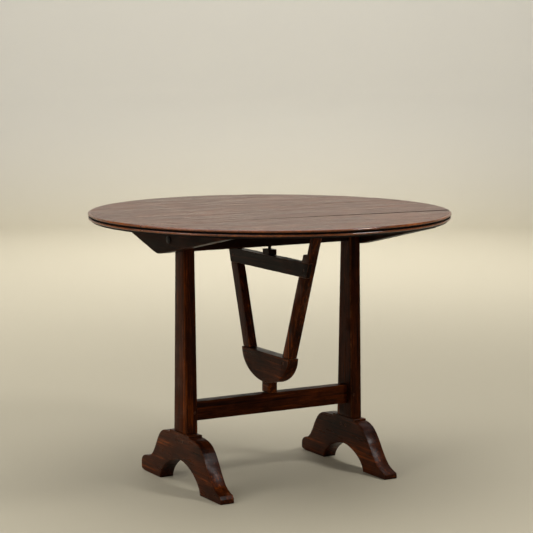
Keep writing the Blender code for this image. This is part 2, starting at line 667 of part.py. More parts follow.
def make_lower_pivot(block, stretcher):
    low = STRETCHER_TOP + LOWER_BLOCK_GAP
    high = BLOCK_TOP - BLOCK_DEPTH + LOWER_BLOCK_IN_BLOCK
    ring = rounded_rectangle(LOWER_BLOCK_THICKNESS / 2, LOWER_BLOCK_LENGTH / 2, HARP_ARRIS)
    stub = add_object("harp_lower_block", loft([(low, ring, 0.0), (high, ring, 0.0)], "Z"), "harp_wood")
    start = STRETCHER_TOP - LOWER_PIN_IN_STRETCHER
    end = high + LOWER_PIN_IN_BLOCK
    add_object("harp_lower_pin", rod("Z", start, end, (0, 0, 0), LOWER_PIN_RADIUS), "iron")
    for target, part in ((block, "block"), (stub, "stub"), (stretcher, "stretcher")):
        pin_hole(target, "Z", start - SEAT_GAP, end + SEAT_GAP, (0, 0, 0), LOWER_PIN_RADIUS,
                 "lower_pin_" + part)


def put_on_axis(names):
    """Parent the harp's pieces to an empty on the vertical axis they swing about."""
    axis = bpy.data.objects.new("harp_axis", None)
    axis.location = (0, 0, STRETCHER_TOP)
    bpy.context.collection.objects.link(axis)
    bpy.context.view_layer.update()
    for item in list(bpy.data.objects):
        if item.type == "MESH" and item.name.startswith(names):
            item.parent = axis
            item.matrix_parent_inverse = axis.matrix_world.inverted()


def main():
    clear_scene()
    boards = make_boards()
    make_battens(boards)
    make_tilt_pins()
    posts = make_posts()
    make_feet(posts)
    stretcher = make_rail("stretcher", STRETCHER_LOW, STRETCHER_DEPTH, STRETCHER_THICKNESS,
                          STRETCHER_TENON, posts, "stretcher_peg")
    rail = make_rail("top_rail", RAIL_LOW, RAIL_DEPTH, RAIL_THICKNESS, RAIL_TENON, posts, "rail_peg")
    block = make_harp_block()
    arms = make_harp_arms(block)
    bar = make_crossbar(arms)
    make_upper_pivot(bar, rail)
    make_lower_pivot(block, stretcher)
    put_on_axis("harp_")


main()
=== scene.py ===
"""Looks of the round tilt-top table: hand-worked wood, iron pins, and a plain studio."""
import math
from collections import namedtuple

import bmesh
import bpy
from mathutils import Matrix, Vector, noise


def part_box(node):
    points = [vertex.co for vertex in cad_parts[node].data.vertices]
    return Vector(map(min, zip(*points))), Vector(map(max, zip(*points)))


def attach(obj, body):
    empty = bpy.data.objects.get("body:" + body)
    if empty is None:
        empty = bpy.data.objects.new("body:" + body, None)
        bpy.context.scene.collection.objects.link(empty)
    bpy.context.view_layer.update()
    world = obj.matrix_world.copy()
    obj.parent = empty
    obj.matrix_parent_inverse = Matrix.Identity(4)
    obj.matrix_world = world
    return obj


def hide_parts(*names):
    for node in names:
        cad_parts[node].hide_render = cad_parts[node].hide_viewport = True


bl_info = {
    "name": "Tilt-top table",
    "version": (1, 0, 0),
    "blender": (4, 5, 0),
    "location": "3D View > Sidebar > Table",
    "description": "Finishes a round tilt-top table in waxed wood and iron",
    "category": "Object",
}

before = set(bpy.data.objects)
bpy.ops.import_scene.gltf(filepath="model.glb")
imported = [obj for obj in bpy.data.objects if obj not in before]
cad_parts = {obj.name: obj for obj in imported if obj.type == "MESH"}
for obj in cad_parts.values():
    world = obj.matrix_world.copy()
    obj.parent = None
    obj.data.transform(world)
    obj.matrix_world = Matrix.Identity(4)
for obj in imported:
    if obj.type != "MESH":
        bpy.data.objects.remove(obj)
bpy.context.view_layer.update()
MM = 0.001
NOISE_SEED = 7
noise.seed_set(NOISE_SEED)          # unseeded, noise_vector differs from run to run

TOP_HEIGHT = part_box("top_board_mid")[1].z
GRAIN_TURN = math.radians(-4.0)     # the boards lie a little off the stretcher's line

BATTENS = ("batten_left", "batten_right")
POSTS = ("post_left", "post_right")
FEET = ("foot_left", "foot_right")
RAILS = ("stretcher", "top_rail")
# painted shade: pieces under the top get darker copies of the wood tones
SHADE_PAINTED_PIECES = BATTENS + ("top_rail", "harp_crossbar", "harp_upper_block")     # darkest, under the top
GATE = ("harp_block", "harp_arm_near", "harp_arm_far", "harp_crossbar", "harp_upper_block",
        "harp_lower_block")


# ------------------------------------------------------------------ colours and nodes
def linear(hex_colour):
    """Linear RGBA of an sRGB hex colour."""
    parts = [int(hex_colour[i:i + 2], 16) / 255 for i in (1, 3, 5)]
    return (*[p / 12.92 if p <= 0.04045 else ((p + 0.055) / 1.055) ** 2.4 for p in parts], 1.0)


def add(tree, kind, settings=None, **inputs):
    """New shader node.

    settings are its properties, and stops a ramp's places with their hex colours or greys.
    inputs are values, sockets or nodes (their first output), by socket name or as i0, i1 ...
    """
    node = tree.nodes.new("ShaderNode" + kind)
    for key, value in (settings or {}).items():
        if key != "stops":
            setattr(node, key, value)
            continue
        band = node.color_ramp
        while len(band.elements) < len(value):
            band.elements.new(0.5)
        for element, (place, tone) in zip(band.elements, value):
            element.position = place
            element.color = linear(tone) if isinstance(tone, str) else (tone, tone, tone, 1.0)
    for key, value in inputs.items():
        numbered = key[0] == "i" and key[1:].isdigit()
        socket = node.inputs[int(key[1:]) if numbered else key.replace("_", " ")]
        if isinstance(value, bpy.types.Node):
            value = value.outputs[0]
        if isinstance(value, bpy.types.NodeSocket):
            tree.links.new(value, socket)
        else:
            socket.default_value = value
    return node


def new_material(name):
    """New material with its tree and its Principled shader."""
    made = bpy.data.materials.new(name)
    made.use_nodes = True
    return made, made.node_tree, made.node_tree.nodes["Principled BSDF"]


# ------------------------------------------------------------------ wood and iron
GRAIN_AXES = {"X": (0.0, 0.0, 0.0), "Y": (0.0, 0.0, math.radians(-90)),
              "Z": (0.0, math.radians(90), 0.0)}

# a pattern's spots are along by across millimetres
Pattern = namedtuple("Pattern", "along across detail roughness distortion", defaults=(0.0,))
SWAY = Pattern(420.0, 50.0, 2.0, 0.5)
PORES = Pattern(38.0, 1.1, 2.0, 0.7)    # really 0.3 mm, too fine to show from across a room
CLOUDS = Pattern(150.0, 80.0, 4.0, 0.62)
STAINS = Pattern(34.0, 20.0, 3.0, 0.6, 0.8)
RUBS = Pattern(26.0, 26.0, 3.0, 0.65)
SMEARS = Pattern(160.0, 18.0, 4.0, 0.65)
PLANE_MARKS = Pattern(110.0, 28.0, 2.0, 0.5)
IRON_SCALE = Pattern(3.0, 3.0, 4.0, 0.6)
RING_LENGTH = 30.0                      # of a growth ring's flame, in ring widths
RING_DETAIL, RING_ROUGHNESS, RING_DISTORTION = 5.0, 0.62, 0.5
RING_SHARE, SWAY_SHARE = 0.7, 0.3       # of the flames

# places on a noise's or angle's scale, with the grey that each place gets
FLAME_PLACES = (0.36, 0.46, 0.53, 0.64)
PIT_STOPS = ((0.38, 1.0), (0.50, 0.0))
CLOUD_PLACES = (0.34, 0.50, 0.66)
CLOUD_MIDDLE = 0.95
STAIN_STOPS = ((0.30, 0.66), (0.52, 1.0))
STAIN_SHARE = 0.8
CORNER_STOPS = ((0.74, 1.0), (0.97, 0.0))
RUB_STOPS = ((0.36, 0.12), (0.62, 1.0))
# painted shade in crevices: greys by ambient occlusion
CREVICE_SHADE_STOPS = ((0.34, 0.03), (0.80, 1.0))
SMEAR_LOW, SMEAR_HIGH = 0.32, 0.68

ARRIS_ROUNDING = 3.5 * MM               # how far in from an arris the finish is rubbed
# painted shade: how far ambient occlusion looks for nearby parts
CREVICE_SHADE_REACH = 10 * MM
LOOK_SAMPLES = 6
PORE_DULLNESS = 0.12
PORE_DEPTH = 0.14                       # next to the plane marks' height
WOOD_RELIEF, IRON_RELIEF, RELIEF_SHARE = 0.5 * MM, 0.3 * MM, 0.4
WAX_IOR = 1.5

IRON_TONES = ((0.35, "#0e0c0b"), (0.65, "#211c19"))
IRON_ROUGHNESS = ((0.3, 0.42), (0.7, 0.66))
IRON_METALLIC = 0.7

# gloss is the smoothest and the dullest roughness of the wax, ring the ring width in millimetres,
# grain how dark the pores look, shine the specular level, clouds how far patches go dark and light
Wax = namedtuple("Wax", "gloss ring grain shine clouds", defaults=(0.5,))
TOP_WAX = Wax((0.22, 0.38), 6.0, 0.9, 0.38, 0.2)
RIM_WAX = Wax((0.14, 0.24), 4.0, 0.3, 0.5, 0.2)
# painted shade: near-black wood for the groove, the bead feet and the sawn seams
GROOVE_SHADE_WAX = Wax((0.5, 0.7), 4.0, 0.3, 0.1)
LEG_WAX = Wax((0.24, 0.40), 7.0, 0.6, 0.03)
PEG_WAX = Wax((0.4, 0.6), 2.0, 0.6, 0.14)
BATTEN_SHINE, FOOT_SHINE, HARP_SHINE = 0.02, 0.08, 0.05


def grain_space(tree, turn, shift):
    """Object coordinates in millimetres, turned so that the grain runs along X."""
    place = add(tree, "TexCoord").outputs["Object"]
    return add(tree, "Mapping", Vector=place, Rotation=turn, Location=shift, Scale=(1 / MM,) * 3)


def spots(tree, space, pattern):
    """Noise in the given pattern."""
    stretch = (1 / pattern.along, 1 / pattern.across, 1 / pattern.across)
    scaled = add(tree, "Mapping", Vector=space, Scale=stretch)
    return add(tree, "TexNoise", Vector=scaled, Scale=1.0, Detail=pattern.detail,
               Roughness=pattern.roughness, Distortion=pattern.distortion)


def ramp(tree, stops, value):
    """Colours or greys at places along a value."""
    return add(tree, "ValToRGB", {"stops": tuple(stops)}, Fac=value)


def darkened(tree, body, tint, share=1.0):
    """A colour multiplied by a tint."""
    return add(tree, "Mix", {"data_type": "RGBA", "blend_type": "MULTIPLY"}, i0=share, i6=body,
               i7=tint).outputs[2]


def covered(tree, body, colour, share):
    """A colour with a second one over a share of it."""
    return add(tree, "Mix", {"data_type": "RGBA"}, i0=share, i6=body, i7=linear(colour)).outputs[2]


def relief(tree, shader, height, depth):
    """Bump of the given depth."""
    bump = add(tree, "Bump", Height=height, Distance=depth, Strength=RELIEF_SHARE)
    tree.links.new(bump.outputs["Normal"], shader.inputs["Normal"])


def wood(name, tones, edge, turn, shift, wax):
    """Old hardwood under a dark, waxed finish.

    tones are the pores, dark rings, body and light rings; edge is the colour of rubbed arrises;
    turn and shift are grain_space's.
    """
    made, tree, shader = new_material(name)
    space = grain_space(tree, turn, shift)
    pore_tone, dark_tone, body_tone, light_tone = tones
    # growth rings, drawn out along the grain into flames that wander
    sway = spots(tree, space, SWAY)
    rings = spots(tree, space, Pattern(RING_LENGTH * wax.ring, wax.ring, RING_DETAIL,
                                       RING_ROUGHNESS, RING_DISTORTION))
    flame = add(tree, "Math", {"operation": "MULTIPLY_ADD"}, i0=rings, i1=RING_SHARE,
                i2=add(tree, "Math", {"operation": "MULTIPLY"}, i0=sway, i1=SWAY_SHARE))
    body = ramp(tree, zip(FLAME_PLACES, (dark_tone, body_tone, body_tone, light_tone)), flame)
    pores = spots(tree, space, PORES)
    pits = ramp(tree, PIT_STOPS, pores)
    depth = add(tree, "Math", {"operation": "MULTIPLY"}, i0=pits, i1=wax.grain)
    body = covered(tree, body, pore_tone, depth)
    # old finish is cloudy, with smaller stains
    greys = (1 - wax.clouds, CLOUD_MIDDLE, 1 + wax.clouds)
    body = darkened(tree, body, ramp(tree, zip(CLOUD_PLACES, greys), spots(tree, space, CLOUDS)))
    stain = ramp(tree, STAIN_STOPS, spots(tree, space, STAINS))
    body = darkened(tree, body, stain, STAIN_SHARE)
    # arrises are rubbed through the finish where a rounding would turn the surface
    rounded = add(tree, "Bevel", {"samples": LOOK_SAMPLES}, Radius=ARRIS_ROUNDING)
    flat = add(tree, "NewGeometry").outputs["True Normal"]
    along = add(tree, "VectorMath", {"operation": "DOT_PRODUCT"}, i0=rounded, i1=flat)
    corner = ramp(tree, CORNER_STOPS, along.outputs["Value"])
    patchy = ramp(tree, RUB_STOPS, spots(tree, space, RUBS))
    rubbed = add(tree, "Math", {"operation": "MULTIPLY"}, i0=corner, i1=patchy)
    body = covered(tree, body, edge, rubbed)
    # painted shade: ambient occlusion darkens the colour in joints, grooves and under parts, where
    # shade falls
    crevice_shade = add(tree, "AmbientOcclusion", {"samples": LOOK_SAMPLES}, Distance=CREVICE_SHADE_REACH)
    body = darkened(tree, body, ramp(tree, CREVICE_SHADE_STOPS, crevice_shade.outputs["AO"]))
    tree.links.new(body, shader.inputs["Base Color"])
    # the wax is streaked along the grain and duller in the pores
    smear = add(tree, "MapRange", Value=spots(tree, space, SMEARS), i1=SMEAR_LOW, i2=SMEAR_HIGH,
                i3=wax.gloss[0], i4=wax.gloss[1])
    rough = add(tree, "Math", {"operation": "MULTIPLY_ADD"}, i0=depth, i1=PORE_DULLNESS, i2=smear)
    tree.links.new(rough.outputs[0], shader.inputs["Roughness"])
    # plane marks lie under the wax, with the open pores on top
    height = add(tree, "Math", {"operation": "MULTIPLY_ADD"}, i0=pores, i1=PORE_DEPTH,
                 i2=spots(tree, space, PLANE_MARKS))
    relief(tree, shader, height, WOOD_RELIEF)
    shader.inputs["IOR"].default_value = WAX_IOR
    shader.inputs["Specular IOR Level"].default_value = wax.shine
    return made


def iron(name):
    """Wrought iron, blackened by handling: dark, uneven and only slightly shiny."""
    made, tree, shader = new_material(name)
    space = grain_space(tree, (0.0, 0.0, 0.0), (0.0, 0.0, 0.0))
    scale = spots(tree, space, IRON_SCALE)
    tone = ramp(tree, IRON_TONES, scale)
    tree.links.new(tone.outputs[0], shader.inputs["Base Color"])
    shader.inputs["Metallic"].default_value = IRON_METALLIC
    rough = ramp(tree, IRON_ROUGHNESS, scale)
    tree.links.new(rough.outputs[0], shader.inputs["Roughness"])
    relief(tree, shader, scale, IRON_RELIEF)
    return made


# ------------------------------------------------------------------ hand-worked pieces
CUT_TOLERANCE = 1e-6
WELD_DISTANCE = 5e-6
FLAT_ANGLE = math.radians(0.4)          # faces that turn less than this become one
ARRIS_ANGLE = math.radians(28)          # corners that turn more are eased
RUB_ANGLE = math.radians(20)            # corners that turn more are rubbed back
SMOOTH_ANGLE = math.radians(21)         # corners that turn less are shaded smooth
BORE_ANGLE = 0.05                       # hollow corners that turn more belong to bores and laps
SEED_STEPS = (3.7, 1.9, -2.3)           # where on the noise each piece's waves are taken
WAVES_PER_METRE = 7.0
RUBS_PER_METRE = 38.0
RUB_FLOOR = 0.25


def cut_evenly(bm, steps):
    """Cross lines on a mesh, so that its long faces can wander; steps are lengths by axis."""
    for axis, step in steps.items():
        k = "XYZ".index(axis)
        places = [v.co[k] for v in bm.verts]
        low, high = min(places), max(places)
        normal = Vector((0.0, 0.0, 0.0))
        normal[k] = 1.0
        count = max(1, round((high - low) / step))
        for i in range(1, count):
            bmesh.ops.bisect_plane(bm, geom=bm.verts[:] + bm.edges[:] + bm.faces[:],
                                   dist=CUT_TOLERANCE,
                                   plane_co=normal * (low + (high - low) * i / count),
                                   plane_no=normal)


def ease_arrises(bm, width):
    """Take the sharpness off every arris with two narrow facets that catch the light."""
    bm.normal_update()
    arrises = [e for e in bm.edges
               if e.is_manifold and e.is_convex and e.calc_face_angle() > ARRIS_ANGLE]
    bmesh.ops.bevel(bm, geom=arrises, offset=width, offset_type="OFFSET", segments=2, profile=0.5,
                    affect="EDGES", clamp_overlap=True)


def work_by_hand(bm, wave, wear, seed):
    """Let faces wander by wave and rub arrises back by up to wear; bores and laps stay true."""
    bm.normal_update()
    hollows = [e for e in bm.edges
               if e.is_manifold and not e.is_convex and e.calc_face_angle() > BORE_ANGLE]
    still = {v for e in hollows for f in e.link_faces for v in f.verts}
    away = Vector([seed * step for step in SEED_STEPS])
    moves = []
    for v in bm.verts:
        sharp = max((e.calc_face_angle(0.0) for e in v.link_edges if e.is_convex), default=0.0)
        rub = 0.0
        if sharp > RUB_ANGLE:
            rub = wear * max(0.0, noise.noise(v.co * RUBS_PER_METRE + away) + RUB_FLOOR)
        wander = noise.noise_vector(v.co * WAVES_PER_METRE + away) * wave
        moves.append(wander - v.normal * rub)
    for v, move in zip(bm.verts, moves):
        if v not in still:
            v.co += move


def place_piece(bm, name, materials, body, node):
    """Turn a bmesh into a piece that rides a body and stands for a CAD node."""
    mesh = bpy.data.meshes.new(name)
    bm.to_mesh(mesh)
    bm.free()
    mesh.shade_smooth()
    mesh.set_sharp_from_angle(angle=SMOOTH_ANGLE)
    for material in materials:
        mesh.materials.append(material)
    piece = bpy.data.objects.new(name, mesh)
    bpy.context.scene.collection.objects.link(piece)
    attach(piece, body)
    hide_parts(node)


def hand_worked(node, material, body, steps, finish, seed):
    """Copy of a CAD node with the slight waves and worn arrises of hand work, in its place."""
    bm = bmesh.new()
    bm.from_mesh(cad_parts[node].data)
    bmesh.ops.remove_doubles(bm, verts=bm.verts, dist=WELD_DISTANCE)
    bmesh.ops.dissolve_limit(bm, angle_limit=FLAT_ANGLE, verts=bm.verts, edges=bm.edges)
    ease_arrises(bm, finish.arris)
    cut_evenly(bm, steps)
    work_by_hand(bm, finish.wave, finish.wear, seed)
    place_piece(bm, node + "_worked", (material,), body, node)


# ------------------------------------------------------------------ round top
TOP_RADIUS = 0.495
TOP_THICKNESS = 0.0225
SEAMS = {"near": -0.190, "far": 0.115}      # where the seams cross the middle of the top
SEAM_GAPS = {"near": 0.0014, "far": 0.0003}
BEAD_HEIGHT = 0.0070
LOWER_BEAD_INSET = 0.001
GROOVE_DEPTH = 0.0050
GROOVE_WIDTH = 0.0036
UNDER_BEVEL = 0.010                         # from the rim in to the underside's edge
RIM_SEGMENTS = 288
BEAD_STEPS = 12
RIM_SLOT = 1                                # places among a board's materials
SHADE_SLOT = 2
GROOVE_SHADE_SHARE = 0.2                          # of a bead's turn, at its foot by the groove, that gets painted shade
BOARD_CELL = 18 * MM
SEAM_DROPS = {"near": 1.6 * MM, "far": 0.4 * MM}    # steps where cupped boards meet
DROP_REACH = 40 * MM
DROP_START = 0.45                           # of the radius, left of the middle
DROP_POWER = 0.7
FACE_DEPTH = 4 * MM                         # how much of a board's thickness counts as its face
CRACK_WIDTH, CRACK_LENGTH = 2.6 * MM, 60 * MM
CRACK_BAND = 2 * MM                         # from the seam, within which its side moves
BOARD_WAVE, BOARD_WEAR = 0.6, 0.5           # next to the trestle's
BOARD_SHIFTS = (217.0, 91.0, 13.0)          # millimetres of grain from one board to the next


def lathe(profile, slots, sides):
    """Body turned from a profile of radii and heights, with a material slot for each band.

    Gives the mesh and its rings of vertices, still open at both ends.
    """
    bm = bmesh.new()
    turns = [2 * math.pi * i / sides for i in range(sides)]
    rings = [[bm.verts.new((radius * math.cos(t), radius * math.sin(t), height)) for t in turns]
             for radius, height in profile]
    for upper, lower, slot in zip(rings, rings[1:], slots):
        for i in range(sides):
            j = (i + 1) % sides
            bm.faces.new((upper[i], lower[i], lower[j], upper[j])).material_index = slot
    return bm, rings


def turned_top():
    """The whole top as one turned body: two beads, a groove between them and a bevel below."""
    profile = []
    slots = []
    # painted shade: the bead feet beside the groove get the near-black material
    blackened = GROOVE_SHADE_SHARE * BEAD_STEPS
    drop = BEAD_HEIGHT + GROOVE_WIDTH
    for number, radius in enumerate((TOP_RADIUS, TOP_RADIUS - LOWER_BEAD_INSET)):
        for step in range(BEAD_STEPS + 1):
            turn = math.pi * step / BEAD_STEPS
            profile.append((radius - GROOVE_DEPTH * (1 - math.sin(turn)),
                            TOP_HEIGHT - number * drop - BEAD_HEIGHT / 2 * (1 - math.cos(turn))))
            foot = step >= BEAD_STEPS - blackened or (number and step < blackened)
            slots.append(SHADE_SLOT if foot else RIM_SLOT)
    profile.append((TOP_RADIUS - UNDER_BEVEL, TOP_HEIGHT - TOP_THICKNESS))
    bm, rings = lathe(profile, slots, RIM_SEGMENTS)
    bm.faces.new(rings[0])
    bm.faces.new(list(reversed(rings[-1])))
    return bm


def saw_off(bm, y, way):
    """Cut a body square at y, drop the side that way points to, and close the cut."""
    cut = bmesh.ops.bisect_plane(bm, geom=bm.verts[:] + bm.edges[:] + bm.faces[:],
                                 dist=CUT_TOLERANCE, plane_co=(0, y, 0), plane_no=(0, way, 0),
                                 clear_outer=True)
    edges = [e for e in cut["geom_cut"] if isinstance(e, bmesh.types.BMEdge)]
    # painted shade: the closed cut faces get the near-black groove material, so the seams read dark
    for face in bmesh.ops.holes_fill(bm, edges=edges, sides=0)["faces"]:
        face.material_index = SHADE_SLOT


def sink_edge(bm, seam, drop, reach):
    """Lower a board's face towards its far seam, by drop at the seam's right end."""
    for v in bm.verts:
        away = seam - v.co.y
        if v.co.z > TOP_HEIGHT - FACE_DEPTH and 0.0 <= away < reach:
            share = max(0.0, v.co.x / TOP_RADIUS + DROP_START) / (1 + DROP_START)
            v.co.z -= drop * share ** DROP_POWER * (1 - away / reach) ** 2


def open_seam(bm, seam, width, reach):
    """Open a board's far seam by width at its left end, over the last reach of its length."""
    end = -math.sqrt(TOP_RADIUS ** 2 - seam ** 2)
    for v in bm.verts:
        share = 1 - (v.co.x - end) / reach
        if abs(v.co.y - seam) < CRACK_BAND and share > 0.0:
            v.co.y -= width * min(share, 1.0)


def make_board(part, finish, seed):
    """One board of the top, sawn from the turned body between its seams."""
    bm = turned_top()
    near, far = SEAMS["near"], SEAMS["far"]
    half_gaps = {name: gap / 2 for name, gap in SEAM_GAPS.items()}
    if part == "near":
        saw_off(bm, near - half_gaps["near"], 1)
    else:
        saw_off(bm, near + half_gaps["near"] if part == "mid" else far + half_gaps["far"], -1)
    if part == "mid":
        saw_off(bm, far - half_gaps["far"], 1)
    cut_evenly(bm, {"X": BOARD_CELL, "Y": BOARD_CELL})
    # the boards have cupped, so each seam has a small step that catches the light
    if part == "near":
        sink_edge(bm, near, SEAM_DROPS["near"], DROP_REACH)
        open_seam(bm, near, CRACK_WIDTH, CRACK_LENGTH)
    if part == "mid":
        sink_edge(bm, far, SEAM_DROPS["far"], DROP_REACH)
    work_by_hand(bm, BOARD_WAVE * finish.wave, BOARD_WEAR * finish.wear, seed)
    along_boards = Matrix.Rotation(GRAIN_TURN, 3, "Z")
    bmesh.ops.rotate(bm, cent=(0, 0, 0), matrix=along_boards, verts=bm.verts)
    return bm


def refinish(node, material):
    """New material on a CAD node that keeps its mesh."""
    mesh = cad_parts[node].data
    mesh.materials.clear()
    mesh.materials.append(material)


# ------------------------------------------------------------------ settings
class TableFinish(bpy.types.PropertyGroup):
    """Colours and small sizes that a user would change."""

    wave: bpy.props.FloatProperty(
        name="Wave", description="How far hand-planed faces wander", default=0.4 * MM,
        subtype="DISTANCE", unit="LENGTH")
    wear: bpy.props.FloatProperty(
        name="Wear", description="How far worn arrises are rubbed back", default=0.9 * MM,
        subtype="DISTANCE", unit="LENGTH")
    arris: bpy.props.FloatProperty(
        name="Arris", description="Width of the facets on eased arrises", default=1.3 * MM,
        subtype="DISTANCE", unit="LENGTH")
    top_body: bpy.props.StringProperty(
        name="Top colour", description="sRGB hex colour of the top's wood", default="#643822")
    top_light: bpy.props.StringProperty(
        name="Top light grain", description="sRGB hex colour of its light grain", default="#7a4e34")
    top_dark: bpy.props.StringProperty(
        name="Top dark grain", description="sRGB hex colour of its dark grain", default="#472817")
    leg_body: bpy.props.StringProperty(
        name="Leg colour", description="sRGB hex colour of the trestle's wood", default="#381503")
    leg_light: bpy.props.StringProperty(
        name="Leg light grain", description="sRGB hex colour of its light grain", default="#6e3208")
    leg_dark: bpy.props.StringProperty(
        name="Leg dark grain", description="sRGB hex colour of its dark grain", default="#190702")
    pore: bpy.props.StringProperty(
        name="Pore colour", description="sRGB hex colour of the pores", default="#0e0503")
    edge: bpy.props.StringProperty(
        name="Rubbed edge colour", description="sRGB hex colour of rubbed arrises",
        default="#6b4020")
    # rubbed wood and painted highlight: this light tone is raised to stand in for the highlight on
    # the rim's beads
    top_edge_and_highlight: bpy.props.StringProperty(
        name="Rim light grain", description="sRGB hex colour of the rim's lightest wood",
        default="#985420")
    rim_body: bpy.props.StringProperty(
        name="Rim colour", description="sRGB hex colour of the rubbed rim", default="#6c3614")


class StudioSettings(bpy.types.PropertyGroup):
    """Camera, floor and wall."""

    bearing: bpy.props.FloatProperty(
        name="Bearing", description="Turn of the view to the right of straight ahead",
        default=math.radians(29.81), subtype="ANGLE")
    pitch: bpy.props.FloatProperty(
        name="Pitch", description="Downward tilt of the view", default=0.1288, subtype="ANGLE")
    distance: bpy.props.FloatProperty(
        name="Distance", description="From the table's middle, along the floor", default=5.168,
        subtype="DISTANCE", unit="LENGTH")
    aside: bpy.props.FloatProperty(
        name="Aside", description="Camera's shift to its right", default=-0.0084,
        subtype="DISTANCE", unit="LENGTH")
    height: bpy.props.FloatProperty(
        name="Height", description="Camera's height over the floor", default=1.2524,
        subtype="DISTANCE", unit="LENGTH")
    lens: bpy.props.FloatProperty(
        name="Lens", description="Focal length on a 36 mm sensor", default=128.3)
    floor: bpy.props.StringProperty(
        name="Floor colour", description="sRGB hex colour of the floor", default="#a8a08c")
    wall: bpy.props.StringProperty(
        name="Wall colour", description="sRGB hex colour of the wall", default="#d0cdc5")


def leg_tones(finish, node):
    """Pores, dark rings, body and light rings of a trestle or harp piece."""
    # painted shade: darker tones for the pieces that sit in the top's shade
    if node in SHADE_PAINTED_PIECES:
        return (finish.pore, finish.pore, finish.leg_dark, finish.leg_body)
    return (finish.pore, finish.leg_dark, finish.leg_body, finish.leg_light)


# ------------------------------------------------------------------ operators
# pieces, axis of their grain, lengths of their cells, shine
TRESTLE = ((BATTENS, "Y", {"Y": 14 * MM}, BATTEN_SHINE),
           (POSTS, "Z", {"Z": 12 * MM}, LEG_WAX.shine),
           (FEET, "Y", {"Y": 10 * MM, "Z": 14 * MM}, FOOT_SHINE),
           (RAILS, "X", {"X": 14 * MM}, LEG_WAX.shine))
TRESTLE_SEED = 5
TRESTLE_SHIFTS = (151.0, 67.0, 29.0)    # millimetres of grain from one piece to the next
HARP_CELL = 12 * MM
HARP_SEED = 20
HARP_SHIFTS = (73.0, 59.0, 17.0)
HARP_START = 31.0
PEG_SHIFT = (11.0, 7.0, 3.0)


class TABLE_OT_boards(bpy.types.Operator):
    """Make the three boards of the round top"""

    bl_idname = "table.boards"
    bl_label = "Top boards"

    def execute(self, context):
        finish = context.scene.table_finish
        tones = (finish.pore, finish.top_dark, finish.top_body, finish.top_light)
        # the rim's light tone is rubbed wood and painted highlight
        rim_tones = (finish.pore, finish.top_dark, finish.rim_body, finish.top_edge_and_highlight)
        # painted shade: near-black tones for the groove and the seams
        dark = (finish.pore, finish.pore, finish.pore, finish.leg_dark)
        turn = (0.0, 0.0, -GRAIN_TURN)
        groove = wood("groove_painted_shade_walnut", dark, finish.leg_dark, turn, (0.0, 0.0, 0.0),
                      GROOVE_SHADE_WAX)
        for number, part in enumerate(("near", "mid", "far")):
            node = "top_board_" + part
            shift = [number * step for step in BOARD_SHIFTS]
            made = wood("waxed_walnut_" + part, tones, finish.top_edge_and_highlight, turn, shift, TOP_WAX)
            rim = wood("rubbed_walnut_rim_" + part, rim_tones, finish.top_edge_and_highlight, turn, shift,
                       RIM_WAX)
            place_piece(make_board(part, finish, number), node + "_planed", (made, rim, groove),
                        "frame", node)
        return {"FINISHED"}


class TABLE_OT_trestle(bpy.types.Operator):
    """Make the battens, posts, feet and rails"""

    bl_idname = "table.trestle"
    bl_label = "Trestle"

    def execute(self, context):
        finish = context.scene.table_finish
        seed = TRESTLE_SEED
        for nodes, axis, steps, shine in TRESTLE:
            for node in nodes:
                seed += 1
                shift = [seed * step for step in TRESTLE_SHIFTS]
                made = wood("polished_chestnut_" + node, leg_tones(finish, node), finish.edge,
                            GRAIN_AXES[axis], shift, LEG_WAX._replace(shine=shine))
                hand_worked(node, made, "frame", steps, finish, seed)
        return {"FINISHED"}


class TABLE_OT_gate(bpy.types.Operator):
    """Make the wooden pieces of the swinging harp"""

    bl_idname = "table.gate"
    bl_label = "Harp gate"

    def execute(self, context):
        finish = context.scene.table_finish
        for number, node in enumerate(GATE):
            axis = "Z" if "arm" in node else "Y"
            shift = (HARP_SHIFTS[0] * number + HARP_START, HARP_SHIFTS[1] * number,
                     HARP_SHIFTS[2] * number)
            made = wood("polished_chestnut_" + node, leg_tones(finish, node), finish.edge,
                        GRAIN_AXES[axis], shift, LEG_WAX._replace(shine=HARP_SHINE))
            hand_worked(node, made, "harp", {axis: HARP_CELL}, finish,
                        HARP_SEED + number)
        return {"FINISHED"}


class TABLE_OT_fastenings(bpy.types.Operator):
    """Finish the pegs, screws and pins"""

    bl_idname = "table.fastenings"
    bl_label = "Pegs and pins"

    def execute(self, context):
        finish = context.scene.table_finish
        tones = (finish.pore, finish.leg_dark, finish.leg_dark, finish.leg_body)
        peg = wood("oak_pegs", tones, finish.leg_light, GRAIN_AXES["X"], PEG_SHIFT, PEG_WAX)
        black = iron("blackened_iron")
        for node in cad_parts:
            if "peg" in node:
                refinish(node, peg)
            elif "screw" in node or "pin" in node:
                refinish(node, black)
        return {"FINISHED"}


class TABLE_OT_studio(bpy.types.Operator):
    """Set out the floor, the lights and the camera"""

    bl_idname = "table.studio"
    bl_label = "Studio"

    def execute(self, context):
        studio = context.scene.table_studio
        make_floor(studio)
        make_lights()
        make_camera(studio)
        return {"FINISHED"}


class TABLE_PT_panel(bpy.types.Panel):
    """Table tools in the sidebar"""

    bl_idname = "TABLE_PT_panel"
    bl_label = "Tilt-top table"
    bl_space_type = "VIEW_3D"
    bl_region_type = "UI"
    bl_category = "Table"

    def draw(self, context):
        layout = self.layout
        for name in OPERATORS:
            layout.operator(name)
        finish = context.scene.table_finish
        for name in finish.__annotations__:
            layout.prop(finish, name)


